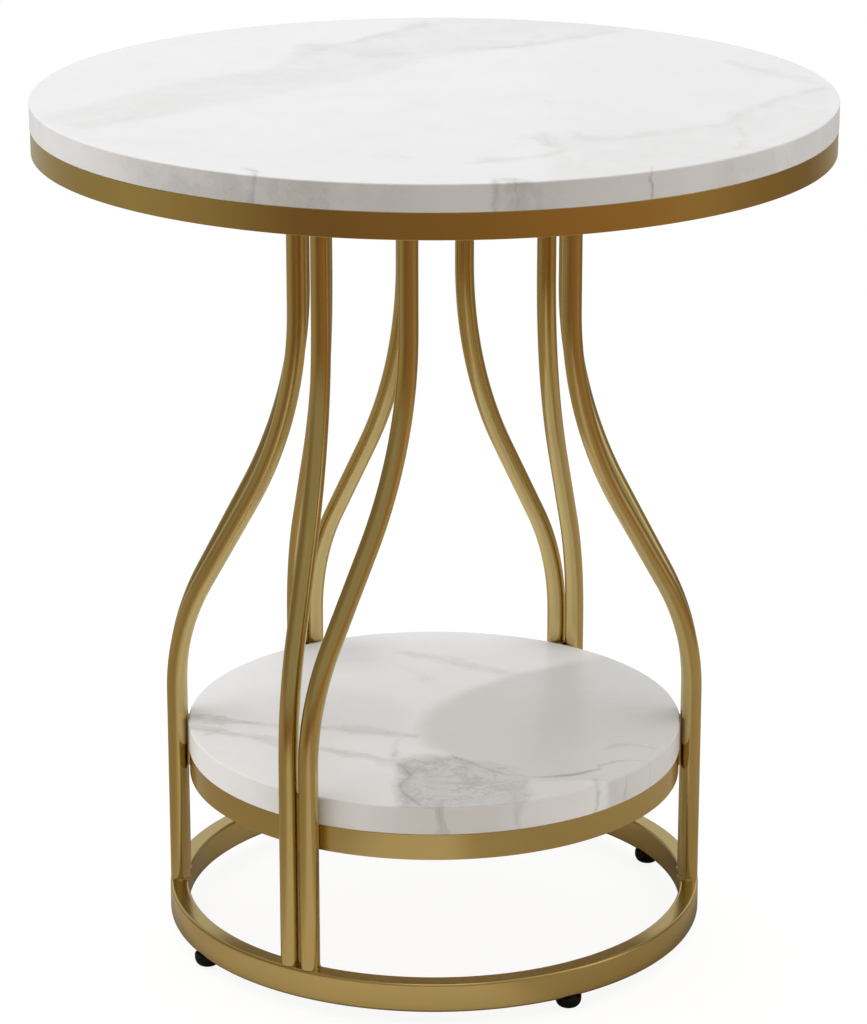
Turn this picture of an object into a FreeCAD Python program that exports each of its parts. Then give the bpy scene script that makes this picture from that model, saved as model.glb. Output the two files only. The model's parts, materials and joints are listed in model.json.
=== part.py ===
import FreeCAD, Part
import math
import os

# Round side table in two tiers: a top board on a hoop, five pairs of bent tubes, a shelf
# and a base ring on four levelling feet. Millimetres, +Z up, origin on the centre line at
# the floor. The pairs leave one place empty, at the front right, to reach the shelf.

# Boards
TABLE_HEIGHT = 551.0
TOP_DIAMETER = 500.0
TOP_THICKNESS = 16.5
SHELF_TOP_HEIGHT = 139.5
SHELF_THICKNESS = 18.0
BOARD_EDGE_RADIUS = 1.2

# Hoops of flat strip under the edges of the boards
HOOP_STRIP = 2.0
HOOP_INSET = 0.3
TOP_HOOP_HEIGHT = 16.0
SHELF_HOOP_HEIGHT = 17.0

# Base ring of rectangular tube
BASE_DIAMETER = 348.0
RING_WIDTH = 12.0
RING_HEIGHT = 19.5
RING_WALL = 1.2
RING_CORNER = 2.0
RING_CLEARANCE_TO_FLOOR = 8.0

# Leg tubes: angles of the pairs, counter-clockwise from +X, and the bent shape
PAIR_ANGLES = {"right": 0.0, "back_right": 57.5, "back_left": 122.0, "left": 180.0, "front": 240.0}
TUBE_DIAMETER = 12.5
TUBE_WALL = 1.2
TUBE_INSET = 0.5
PAIR_GAP = 1.8
HEAD_CIRCLE_DIAMETER = 182.0
HEAD_SPREAD_ANGLE = 40.0
BEND_ANGLE = 29.4
LOWER_BEND_RADIUS = 155.0
UPPER_BEND_RADIUS = 266.0
BEND_ABOVE_SHELF = 19.5

# Hub plate and spokes under the top board
HUB_WIDTH = 26.0
PLATE_THICKNESS = 3.0
SPOKE_COUNT = 6
SPOKE_WIDTH = 20.0
SPOKE_SCREW_INSET = 22.0

# Plates and tabs of the shelf hoop
SHELF_GAP = 1.0
LEG_PLATE_THICKNESS = 3.0
TAB_LENGTH = 24.0
TAB_WIDTH = 20.0

# Wood screws
SCREW_DIAMETER = 4.0
SCREW_HEAD_DIAMETER = 8.0
SCREW_HEAD_HEIGHT = 2.4
SCREW_HEAD_BEVEL = 1.2
SCREW_BITE = 11.0
SCREW_TIP = 2.0
SCREW_CLEARANCE = 0.5
PILOT_CLEARANCE = 0.05

# Levelling feet: a moulded base on a threaded stud in a rivet nut
FOOT_COUNT = 4
FIRST_FOOT_ANGLE = 30.0
FOOT_DIAMETER = 16.5
FOOT_FLAT_DIAMETER = 8.0
FOOT_SIDE_HEIGHT = 2.2
FOOT_CLEARANCE = 0.2
STUD_DIAMETER = 6.0
STUD_REACH = 13.0
STUD_HEAD_WIDTH = 10.0
STUD_HEAD_HEIGHT = 3.0
STUD_HEAD_LIFT = 1.6
THREAD_CLEARANCE = 0.05
INSERT_DIAMETER = 8.8
INSERT_LENGTH = 11.0
INSERT_FLANGE_DIAMETER = 11.0
INSERT_FLANGE_THICKNESS = 0.8
INSERT_CLEARANCE = 0.1

# Heights and circles that follow
top_underside = TABLE_HEIGHT - TOP_THICKNESS
hub_underside = top_underside - PLATE_THICKNESS
shelf_underside = SHELF_TOP_HEIGHT - SHELF_THICKNESS
shelf_hoop_underside = shelf_underside - SHELF_HOOP_HEIGHT
ring_top = RING_CLEARANCE_TO_FLOOR + RING_HEIGHT

top_radius = TOP_DIAMETER / 2
top_hoop_radius = top_radius - HOOP_INSET
ring_outer_radius = BASE_DIAMETER / 2
ring_middle_radius = ring_outer_radius - RING_WIDTH / 2
tube_radius = TUBE_DIAMETER / 2
leg_circle_radius = ring_outer_radius - TUBE_INSET - tube_radius
shelf_radius = leg_circle_radius - tube_radius - SHELF_GAP
shelf_hoop_radius = shelf_radius - HOOP_INSET
head_circle_radius = HEAD_CIRCLE_DIAMETER / 2
hub_outer_radius = head_circle_radius + HUB_WIDTH / 2

bend_start = SHELF_TOP_HEIGHT + BEND_ABOVE_SHELF
spoke_screw_radius = top_hoop_radius - HOOP_STRIP - SPOKE_SCREW_INSET
tab_screw_radius = shelf_hoop_radius - HOOP_STRIP - TAB_LENGTH / 2

up = FreeCAD.Vector(0, 0, 1)


def on_circle(radius, degrees, height):
    angle = math.radians(degrees)
    return FreeCAD.Vector(radius * math.cos(angle), radius * math.sin(angle), height)


def cylinder(radius, height, centre):
    return Part.makeCylinder(radius, height, centre)


def on_axis(height):
    return FreeCAD.Vector(0, 0, height)


def turned(shape, degrees):
    copy = shape.copy()
    copy.rotate(on_axis(0), up, degrees)
    return copy


def revolved(edges):
    face = Part.Face(Part.Wire(edges))
    return face.revolve(on_axis(0), up, 360)


def straight_edges(points):
    return [Part.LineSegment(start, end).toShape() for start, end in zip(points, points[1:])]


# A bar lies along +X from one radius to another, centred across, with its underside at a height.
def radial_bar(inner, outer, width, thickness, underside):
    corner = FreeCAD.Vector(inner, -width / 2, underside)
    return Part.makeBox(outer - inner, width, thickness, corner)


def round_rims(shape, radius):
    rims = [edge for edge in shape.Edges if isinstance(edge.Curve, Part.Circle)]
    return shape.makeFillet(radius, rims)


def board(radius, thickness, underside):
    return round_rims(cylinder(radius, thickness, on_axis(underside)), BOARD_EDGE_RADIUS)


def hoop(radius, strip, height, underside):
    outside = cylinder(radius, height, on_axis(underside))
    inside = cylinder(radius - strip, height, on_axis(underside))
    return outside.cut(inside)


# The base ring is a closed rectangular tube with a hole up through its lower wall for each foot.
def base_ring():
    underside = RING_CLEARANCE_TO_FLOOR
    outside = hoop(ring_outer_radius, RING_WIDTH, RING_HEIGHT, underside)
    hollow_width = RING_WIDTH - 2 * RING_WALL
    hollow_height = RING_HEIGHT - 2 * RING_WALL
    hollow = hoop(ring_outer_radius - RING_WALL, hollow_width, hollow_height, underside + RING_WALL)
    ring = round_rims(outside, RING_CORNER).cut(hollow)
    for centre in foot_centres(underside):
        ring = ring.cut(cylinder(INSERT_DIAMETER / 2 + INSERT_CLEARANCE, 2 * RING_WALL, centre))
    return ring


# The centre line of a tube lies in one upright plane: up from the ring, out of the vertical by
# the lower bend, straight, and back to the vertical by the upper bend.
def leg_path(direction, side):
    across = on_circle(1, direction + 90, 0)
    foot = on_circle(leg_circle_radius, direction, 0) + across * (side * (TUBE_DIAMETER + PAIR_GAP) / 2)
    head = on_circle(head_circle_radius, direction + side * HEAD_SPREAD_ANGLE / 2, 0)
    travel = (head - foot).Length
    heading = (head - foot).normalize()
    angle = math.radians(BEND_ANGLE)
    both_radii = LOWER_BEND_RADIUS + UPPER_BEND_RADIUS
    straight = (travel - both_radii * (1 - math.cos(angle))) / math.sin(angle)
    bend_end = bend_start + both_radii * math.sin(angle) + straight * math.cos(angle)

    def at(run, height):
        return foot + heading * run + up * height

    def lower(turn):
        run = LOWER_BEND_RADIUS * (1 - math.cos(turn))
        return at(run, bend_start + LOWER_BEND_RADIUS * math.sin(turn))

    def upper(turn):
        run = travel - UPPER_BEND_RADIUS * (1 - math.cos(turn))
        return at(run, bend_end - UPPER_BEND_RADIUS * math.sin(turn))

    return Part.Wire([
        Part.LineSegment(at(0, ring_top), lower(0)).toShape(),
        Part.Arc(lower(0), lower(angle / 2), lower(angle)).toShape(),
        Part.LineSegment(lower(angle), upper(angle)).toShape(),
        Part.Arc(upper(angle), upper(angle / 2), upper(0)).toShape(),
        Part.LineSegment(upper(0), at(travel, hub_underside)).toShape(),
    ])


def swept(path, radius):
    start = path.Vertexes[0].Point
    profile = Part.Wire(Part.Circle(start, up, radius).toShape())
    return path.makePipeShell([profile], True, False)


def leg_tube(direction, side):
    path = leg_path(direction, side)
    return swept(path, tube_radius).cut(swept(path, tube_radius - TUBE_WALL))


# Pilot or clearance hole for a screw that points up.
def screw_hole(centre, depth, clearance):
    return cylinder(SCREW_DIAMETER / 2 + clearance, depth, centre)


def wood_screw(seat):
    head_radius = SCREW_HEAD_DIAMETER / 2
    shank_length = PLATE_THICKNESS + SCREW_BITE - SCREW_TIP
    crown = seat - up * SCREW_HEAD_HEIGHT
    bevel = Part.makeCone(head_radius - SCREW_HEAD_BEVEL, head_radius, SCREW_HEAD_BEVEL, crown)
    head = cylinder(head_radius, SCREW_HEAD_HEIGHT - SCREW_HEAD_BEVEL, crown + up * SCREW_HEAD_BEVEL)
    shank = cylinder(SCREW_DIAMETER / 2, shank_length, seat)
    tip = Part.makeCone(SCREW_DIAMETER / 2, SCREW_DIAMETER / 8, SCREW_TIP, seat + up * shank_length)
    return bevel.fuse([head, shank, tip]).removeSplitter()


def spoke_angles():
    return [number * 360 / SPOKE_COUNT for number in range(SPOKE_COUNT)]


def top_screw_seats():
    hub_seats = [on_circle(head_circle_radius, angle, hub_underside) for angle in PAIR_ANGLES.values()]
    spoke_seats = [on_circle(spoke_screw_radius, angle, hub_underside) for angle in spoke_angles()]
    return hub_seats + spoke_seats


def shelf_screw_seats():
    seat_height = shelf_underside - PLATE_THICKNESS
    return [on_circle(tab_screw_radius, angle, seat_height) for angle in PAIR_ANGLES.values()]


# Blind pilot holes run up into a board from the plate that the screws pass through.
def drilled_board(blank, seats):
    for seat in seats:
        blank = blank.cut(screw_hole(seat, PLATE_THICKNESS + SCREW_BITE, PILOT_CLEARANCE))
    return blank


def hub_plate():
    plate = hoop(hub_outer_radius, HUB_WIDTH, PLATE_THICKNESS, hub_underside)
    for direction in PAIR_ANGLES.values():
        seat = on_circle(head_circle_radius, direction, hub_underside)
        plate = plate.cut(screw_hole(seat, PLATE_THICKNESS, SCREW_CLEARANCE))
    return plate


def spoke(angle):
    bar = radial_bar(hub_outer_radius / 2, top_hoop_radius, SPOKE_WIDTH, PLATE_THICKNESS, hub_underside)
    bar = bar.common(cylinder(top_hoop_radius - HOOP_STRIP, PLATE_THICKNESS, on_axis(hub_underside)))
    bar = bar.cut(cylinder(hub_outer_radius, PLATE_THICKNESS, on_axis(hub_underside)))
    hole = screw_hole(on_circle(spoke_screw_radius, 0, hub_underside), PLATE_THICKNESS, SCREW_CLEARANCE)
    return turned(bar.cut(hole), angle)


def shelf_tab(direction):
    seat_height = shelf_underside - PLATE_THICKNESS
    wall = shelf_hoop_radius - HOOP_STRIP
    bar = radial_bar(wall - TAB_LENGTH, shelf_hoop_radius, TAB_WIDTH, PLATE_THICKNESS, seat_height)
    bar = bar.common(cylinder(wall, PLATE_THICKNESS, on_axis(seat_height)))
    hole = screw_hole(on_circle(tab_screw_radius, 0, seat_height), PLATE_THICKNESS, SCREW_CLEARANCE)
    return turned(bar.cut(hole), direction)


# An upright plate stands against the shelf hoop and reaches into the groove between two tubes,
# cut to the curves that it meets.
def leg_plate(direction):
    height = SHELF_THICKNESS + SHELF_HOOP_HEIGHT
    plate = radial_bar(shelf_hoop_radius - HOOP_STRIP, leg_circle_radius, LEG_PLATE_THICKNESS, height,
                       shelf_hoop_underside)
    plate = plate.cut(cylinder(shelf_hoop_radius, height, on_axis(shelf_hoop_underside)))
    plate = plate.cut(cylinder(shelf_radius, SHELF_THICKNESS, on_axis(shelf_underside)))
    for side in (-1, 1):
        offset = side * (TUBE_DIAMETER + PAIR_GAP) / 2
        tube_centre = FreeCAD.Vector(leg_circle_radius, offset, shelf_hoop_underside)
        plate = plate.cut(cylinder(tube_radius, height, tube_centre))
    return turned(plate, direction)


def foot_centres(height):
    angles = [FIRST_FOOT_ANGLE + number * 360 / FOOT_COUNT for number in range(FOOT_COUNT)]
    return [on_circle(ring_middle_radius, angle, height) for angle in angles]


def foot_insert(centre):
    flange_base = centre - up * INSERT_FLANGE_THICKNESS
    flange = cylinder(INSERT_FLANGE_DIAMETER / 2, INSERT_FLANGE_THICKNESS, flange_base)
    body = cylinder(INSERT_DIAMETER / 2, INSERT_LENGTH, centre)
    bore_length = INSERT_LENGTH + INSERT_FLANGE_THICKNESS
    bore = cylinder(STUD_DIAMETER / 2 + THREAD_CLEARANCE, bore_length, flange_base)
    return flange.fuse(body).cut(bore)


# The stud is drawn with its hexagonal head, which the foot is moulded around.
def foot_stud(centre):
    floor_point = FreeCAD.Vector(centre.x, centre.y, 0)
    head_base = floor_point + up * STUD_HEAD_LIFT
    corner_radius = STUD_HEAD_WIDTH / math.sqrt(3)
    corners = [head_base + on_circle(corner_radius, 60 * number, 0) for number in range(7)]
    head = Part.Face(Part.Wire(straight_edges(corners))).extrude(up * STUD_HEAD_HEIGHT)
    shank_length = RING_CLEARANCE_TO_FLOOR + STUD_REACH - STUD_HEAD_LIFT
    return head.fuse(cylinder(STUD_DIAMETER / 2, shank_length, head_base)).removeSplitter()


def foot_base(centre):
    flat = FOOT_FLAT_DIAMETER / 2
    rim = FOOT_DIAMETER / 2
    top = RING_CLEARANCE_TO_FLOOR - FOOT_CLEARANCE
    shoulder = top - FOOT_SIDE_HEIGHT
    recess = INSERT_FLANGE_DIAMETER / 2 + FOOT_CLEARANCE
    recess_floor = RING_CLEARANCE_TO_FLOOR - INSERT_FLANGE_THICKNESS - FOOT_CLEARANCE
    ellipse_x = flat + (rim - flat) * math.sqrt(0.5)
    ellipse_z = shoulder * (1 - math.sqrt(0.5))
    flat_edge = FreeCAD.Vector(flat, 0, 0)
    dome_top = FreeCAD.Vector(rim, 0, shoulder)
    dome = Part.Arc(flat_edge, FreeCAD.Vector(ellipse_x, 0, ellipse_z), dome_top).toShape()
    above = [dome_top] + [FreeCAD.Vector(x, 0, z) for x, z in (
        (rim, top), (recess, top), (recess, recess_floor), (0, recess_floor))]
    below = [on_axis(recess_floor), on_axis(0), flat_edge]
    shape = revolved(straight_edges(below) + [dome] + straight_edges(above))
    shape.translate(FreeCAD.Vector(centre.x, centre.y, 0))
    return shape.cut(foot_stud(centre))


def save(name, *shapes):
    shape = shapes[0] if len(shapes) == 1 else Part.makeCompound(list(shapes))
    shape.exportStep(os.path.join("parts", name + ".step"))


os.makedirs("parts", exist_ok=True)

top_blank = board(top_radius, TOP_THICKNESS, top_underside)
save("top_board", drilled_board(top_blank, top_screw_seats()))
save("top_hoop", hoop(top_hoop_radius, HOOP_STRIP, TOP_HOOP_HEIGHT, top_underside - TOP_HOOP_HEIGHT))
save("top_hub_plate", hub_plate())
for number, angle in enumerate(spoke_angles(), 1):
    save(f"top_spoke_{number}", spoke(angle))
save("top_screws", *[wood_screw(seat) for seat in top_screw_seats()])

for pair, direction in PAIR_ANGLES.items():
    save(f"{pair}_leg_tube_a", leg_tube(direction, -1))
    save(f"{pair}_leg_tube_b", leg_tube(direction, 1))
    save(f"{pair}_leg_plate", leg_plate(direction))
    save(f"{pair}_shelf_tab", shelf_tab(direction))

shelf_blank = board(shelf_radius, SHELF_THICKNESS, shelf_underside)
save("shelf_board", drilled_board(shelf_blank, shelf_screw_seats()))
save("shelf_hoop", hoop(shelf_hoop_radius, HOOP_STRIP, SHELF_HOOP_HEIGHT, shelf_hoop_underside))
save("shelf_screws", *[wood_screw(seat) for seat in shelf_screw_seats()])

save("base_ring", base_ring())
save("foot_inserts", *[foot_insert(centre) for centre in foot_centres(RING_CLEARANCE_TO_FLOOR)])
for number, centre in enumerate(foot_centres(0), 1):
    save(f"foot_{number}_base", foot_base(centre))
    save(f"foot_{number}_stud", foot_stud(centre))
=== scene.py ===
import bpy, bmesh, json, math
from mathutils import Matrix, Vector


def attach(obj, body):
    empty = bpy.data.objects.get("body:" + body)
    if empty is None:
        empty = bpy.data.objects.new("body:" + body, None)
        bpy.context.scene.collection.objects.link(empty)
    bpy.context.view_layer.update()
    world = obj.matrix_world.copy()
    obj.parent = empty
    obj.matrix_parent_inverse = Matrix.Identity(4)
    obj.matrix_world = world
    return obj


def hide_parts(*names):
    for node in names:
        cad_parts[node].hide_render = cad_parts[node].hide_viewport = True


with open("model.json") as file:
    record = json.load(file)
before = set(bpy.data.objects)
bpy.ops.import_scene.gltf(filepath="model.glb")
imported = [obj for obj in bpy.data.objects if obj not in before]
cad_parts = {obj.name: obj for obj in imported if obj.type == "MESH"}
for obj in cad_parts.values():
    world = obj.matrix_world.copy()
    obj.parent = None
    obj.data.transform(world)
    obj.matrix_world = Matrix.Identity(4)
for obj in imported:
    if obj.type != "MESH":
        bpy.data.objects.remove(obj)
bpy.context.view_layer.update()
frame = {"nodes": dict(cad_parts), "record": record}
mm = 0.001
sharpAngle = math.radians(35)   # edges bent by more than this stay sharp


def toLinear(hexText):
    channels = [int(hexText[i:i + 2], 16) / 255 for i in (1, 3, 5)]
    return tuple(c / 12.92 if c <= 0.04045 else ((c + 0.055) / 1.055) ** 2.4 for c in channels) + (1.0,)


# Sets a node's inputs. Each is named by its label, or by its number where labels repeat, and takes
# a plain value, a socket, a node whose first output in use is linked, or a list of things to link.
def giveInputs(node, inputs):
    for name, given in inputs.items():
        target = node.inputs[name] if isinstance(name, int) else next(
            socket for socket in node.inputs if socket.enabled and socket.name == name)
        for value in given if isinstance(given, list) else [given]:
            if isinstance(value, bpy.types.Node):
                value = next(socket for socket in value.outputs if socket.enabled)
            if isinstance(value, bpy.types.NodeSocket):
                node.id_data.links.new(value, target)
            else:
                target.default_value = value


# One node with its settings and its inputs.
def addNode(tree, kind, inputs=None, **settings):
    node = tree.nodes.new(kind)
    for name, value in settings.items():
        setattr(node, name, value)
    giveInputs(node, inputs or {})
    return node


# Several masks joined one after another by the same operation.
def joined(tree, operation, total, *values):
    for value in values:
        total = addNode(tree, "ShaderNodeMath", {0: total, 1: value}, operation=operation)
    return total


def newMaterial(name):
    material = bpy.data.materials.new(name)
    material.use_nodes = True
    tree = material.node_tree
    return material, tree, tree.nodes["Principled BSDF"]


# Fibreboard wrapped in a printed film with grey marble veins, under semi-gloss lacquer. It gives
# a near-white ground, soft cloudy greys with darker hairlines, and a soft, slightly blurred reflection.
# Some of the film's clouds and streaks are painted shade and painted shadows, drawn in its cloud and vein
# greys.
marbleLook = {
    "ground": "#E1E3E8", "cloudAndShade": "#C3C5C7", "veinAndShadow": "#939294",
    "lacquerRoughness": 0.27, "lacquerIor": 1.5,
    "driftSize": 80.0, "drift": 8.0,       # mm, slow bends of the veins
    "raggedSize": 20.0, "ragged": 6.0,     # mm, uneven edges of the veins
    "mottleSize": 30.0,                    # mm, clouds inside the grey
    "cloudAndShadeLeast": 0.4,                     # strength of a cloud, and of painted shade, where it is thinnest
    "swellSize": 34.0,                     # mm, where a vein widens and thins
    "coreWidth": 0.7, "haloShare": 0.62,   # mm of a vein's dark core, and strength beside it
    "wispSizes": (30.0, 12.0),             # mm between wandering hairlines
    "wispWidth": 0.022, "wispShare": 0.22, "crackShare": 0.44,   # the last where a cloud is cracked
}
shelfLook = dict(
    marbleLook, ground="#E8EBF0", cloudAndShade="#CACCCE", veinAndShadow="#8F9093", cloudAndShadeLeast=0.92, drift=4.8, ragged=3.3,
    wispSizes=(24.0, 10.0), wispWidth=0.05, wispShare=0.04)
boardSpan = 500.0   # mm that the lines of a vein run over


def toUnit(value):
    return value / boardSpan + 0.5


# A smooth curve through points, read at the value given. A new curve has two points already.
def curveOver(tree, along, points):
    node = addNode(tree, "ShaderNodeFloatCurve", {"Value": along})
    curve = node.mapping.curves[0]
    node.mapping.use_clip = False
    for number, (x, y) in enumerate(points):
        if number < 2:
            curve.points[number].location = (x, y)
        else:
            curve.points.new(x, y)
    node.mapping.update()
    return node


# Distance of the surface above a line on the board, after the board is turned so that the line
# runs across it, and how far along the board's span the surface and the line's two ends are.
def besideLine(tree, place, turn, line):
    spun = addNode(tree, "ShaderNodeVectorRotate", {"Vector": place, "Angle": math.radians(-turn)},
                   rotation_type="Z_AXIS")
    parts = addNode(tree, "ShaderNodeSeparateXYZ", {0: spun}).outputs
    along, across = [addNode(tree, "ShaderNodeMath", {0: parts[axis], 1: 1 / boardSpan, 2: 0.5},
                             operation="MULTIPLY_ADD") for axis in ("X", "Y")]
    cosine, sine = math.cos(math.radians(turn)), math.sin(math.radians(turn))
    points = sorted((toUnit(x * cosine + y * sine), toUnit(y * cosine - x * sine)) for x, y in line)
    curve = curveOver(tree, along, points)
    height = addNode(tree, "ShaderNodeMath", {0: across, 1: curve}, operation="SUBTRACT")
    return along, height, points[0][0], points[-1][0]


def fadeEnds(tree, along, start, end, fade):
    ends = [addNode(tree, "ShaderNodeMapRange", {"Value": along, "From Min": limit, "From Max": limit + way})
            for limit, way in ((start, fade), (end, -fade))]
    return joined(tree, "MULTIPLY", *ends)


# A streak along a line with a fine dark core; it draws veins, and the painted shadows of tubes too.
# Its width, softness and end fade are in mm, and swell makes it widen and thin on its way.
def veinAndShadowMask(tree, place, swell, look, veinAndShadow):
    along, height, start, end = besideLine(tree, place, veinAndShadow["turn"], veinAndShadow["line"])
    away = addNode(tree, "ShaderNodeMath", {0: height}, operation="ABSOLUTE")
    away = joined(tree, "MULTIPLY", away, swell)
    wide, soft, fine = [size / boardSpan for size in (veinAndShadow["width"] / 2, veinAndShadow["soft"], look["coreWidth"])]
    halo = addNode(tree, "ShaderNodeMapRange", {
        "Value": away, "From Min": wide + soft, "From Max": wide, "To Max": look["haloShare"]},
        interpolation_type="SMOOTHSTEP")
    core = addNode(tree, "ShaderNodeMapRange", {
        "Value": away, "From Min": fine * 2.4, "From Max": fine * 0.4})
    ends = fadeEnds(tree, along, start, end, veinAndShadow["fade"] / boardSpan)
    return joined(tree, "MULTIPLY", joined(tree, "MAXIMUM", halo, core), ends, veinAndShadow["strength"])


# A cloud lies above its lower line and below its upper one. Either may be left out. Some clouds are
# painted shade and painted shadows. One that is marked for the side or the flat shows on the board's
# edge or on its faces only.
def cloudAndShadeMask(tree, place, cloudAndShade):
    masks = []
    if "only" in cloudAndShade:
        normal = addNode(tree, "ShaderNodeNewGeometry").outputs["Normal"]
        upwards = addNode(tree, "ShaderNodeSeparateXYZ", {0: normal}).outputs["Z"]
        hidden, shown = {"side": (0.7, 0.2), "flat": (0.2, 0.7)}[cloudAndShade["only"]]
        masks.append(addNode(tree, "ShaderNodeMapRange", {
            "Value": upwards, "From Min": hidden, "From Max": shown}))
    for side, sign in (("above", 1), ("below", -1)):
        if side in cloudAndShade:
            along, height, start, end = besideLine(tree, place, cloudAndShade["turn"], cloudAndShade[side])
            half = sign * cloudAndShade["soft"] / 2 / boardSpan
            masks.append(addNode(tree, "ShaderNodeMapRange", {
                "Value": height, "From Min": -half, "From Max": half}, interpolation_type="SMOOTHSTEP"))
            masks.append(fadeEnds(tree, along, start, end, cloudAndShade["fade"] / boardSpan))
    return joined(tree, "MULTIPLY", *masks, cloudAndShade["strength"])


def marbleFilm(name, look, cloudsAndShade, veinsAndShadows):
    material, tree, shader = newMaterial(name)
    place = addNode(tree, "ShaderNodeTexCoord").outputs["Object"]
    board = addNode(tree, "ShaderNodeMapping", {"Vector": place, "Scale": (1000, 1000, 1000)})   # in mm
    for warp in ("drift", "ragged"):
        noise = addNode(tree, "ShaderNodeTexNoise", {
            "Vector": board, "Scale": 1 / look[warp + "Size"], "Detail": 6.0, "Roughness": 0.66})
        centred = addNode(tree, "ShaderNodeVectorMath", {0: noise.outputs["Color"], 1: (0.5, 0.5, 0.5)},
                          operation="SUBTRACT")
        pushed = addNode(tree, "ShaderNodeVectorMath", {0: centred, "Scale": 2 * look[warp]},
                         operation="SCALE")
        board = addNode(tree, "ShaderNodeVectorMath", {0: board, 1: pushed}, operation="ADD")
    # the distance to a vein is stretched where it thins and shrunk where it widens
    swelling = addNode(tree, "ShaderNodeTexNoise", {
        "Vector": board, "Scale": 1 / look["swellSize"], "Detail": 3.0, "Roughness": 0.6})
    swell = addNode(tree, "ShaderNodeMapRange", {
        "Value": swelling, "From Min": 0.36, "From Max": 0.64, "To Min": 2.2, "To Max": 0.55})
    # one mottling varies every layer: the noise from and to, and the layer's least and most share
    mottle = addNode(tree, "ShaderNodeTexNoise", {
        "Vector": board, "Scale": 1 / look["mottleSize"], "Detail": 7.0, "Roughness": 0.7})
    inCloudsAndShade, inLines, inWisps, inGround = [
        addNode(tree, "ShaderNodeMapRange", {
            "Value": mottle, "From Min": low, "From Max": high, "To Min": least, "To Max": most})
        for low, high, least, most in (
            (0.32, 0.66, look["cloudAndShadeLeast"], 1.0), (0.36, 0.6, 0.3, 1.0),
            (0.4, 0.56, 0.1, 1.0), (0.42, 0.8, 0.0, 0.16))]
    cloudAndShadeShare = joined(tree, "MAXIMUM", *[cloudAndShadeMask(tree, board, cloudAndShade) for cloudAndShade in cloudsAndShade])
    cloudAndShadeShare = joined(tree, "MULTIPLY", cloudAndShadeShare, inCloudsAndShade)
    lines = joined(tree, "MAXIMUM", *[veinAndShadowMask(tree, board, swell, look, veinAndShadow) for veinAndShadow in veinsAndShadows])
    lines = joined(tree, "MULTIPLY", lines, inLines)
    # wandering hairlines run where a noise crosses its middle value, strongest in cracked clouds
    wisps = []
    for size in look["wispSizes"]:
        noise = addNode(tree, "ShaderNodeTexNoise", {
            "Vector": board, "Scale": 1 / size, "Detail": 5.0, "Roughness": 0.55})
        level = addNode(tree, "ShaderNodeMath", {0: noise, 1: 0.5}, operation="SUBTRACT")
        ridge = addNode(tree, "ShaderNodeMath", {0: level}, operation="ABSOLUTE")
        wisps.append(addNode(tree, "ShaderNodeMapRange", {
            "Value": ridge, "From Min": look["wispWidth"], "From Max": 0.0}))
    cracks = [joined(tree, "MULTIPLY", cloudAndShadeMask(tree, board, cloudAndShade), look["crackShare"])
              for cloudAndShade in cloudsAndShade if cloudAndShade.get("cracked")]
    wispy = joined(tree, "MAXIMUM", joined(tree, "MULTIPLY", cloudAndShadeShare, look["wispShare"]), *cracks)
    wispy = joined(tree, "MULTIPLY", wispy, joined(tree, "MAXIMUM", *wisps), inWisps)
    ground = addNode(tree, "ShaderNodeMix", {
        "Factor": joined(tree, "MAXIMUM", cloudAndShadeShare, inGround),
        "A": toLinear(look["ground"]), "B": toLinear(look["cloudAndShade"])}, data_type="RGBA")
    colour = addNode(tree, "ShaderNodeMix", {
        "Factor": joined(tree, "MAXIMUM", lines, wispy),
        "A": ground, "B": toLinear(look["veinAndShadow"])}, data_type="RGBA")
    giveInputs(shader, {
        "Base Color": colour, "Roughness": look["lacquerRoughness"], "IOR": look["lacquerIor"]})
    return material


# Clouds and veins of the two boards, with painted shade and painted shadows among them, as lines in mm
# over the board seen from above, X right, Y back.
topCloudsAndEdgeShade = [
    dict(turn=50, soft=18, strength=0.36, fade=8,
         above=[(-215, -115), (-150, -60), (-95, 0), (-35, 55), (0, 110), (85, 160), (140, 215)],
         below=[(-240, -85), (-160, 30), (-105, 80), (-85, 140), (-40, 180), (-5, 255), (60, 330)]),
    dict(turn=90, soft=40, strength=0.16, fade=5,
         below=[(70, -250), (75, -160), (70, -80), (80, 0), (80, 100), (120, 260)]),
    dict(turn=0, soft=16, strength=0.3, fade=12,
         below=[(60, -120), (105, -125), (150, -105), (185, -80), (220, -10), (250, 15)]),
    # painted shade: the next three darken the board's edge only, at the front left, the front and the right
    dict(turn=0, soft=40, strength=1.0, fade=70, only="side", below=[(-215, -120), (10, -120)]),
    dict(turn=0, soft=40, strength=0.55, fade=30, only="side", below=[(20, -120), (95, -120)]),
    dict(turn=0, soft=30, strength=0.55, fade=50, only="side", below=[(120, -20), (300, -20)]),
]
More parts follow.
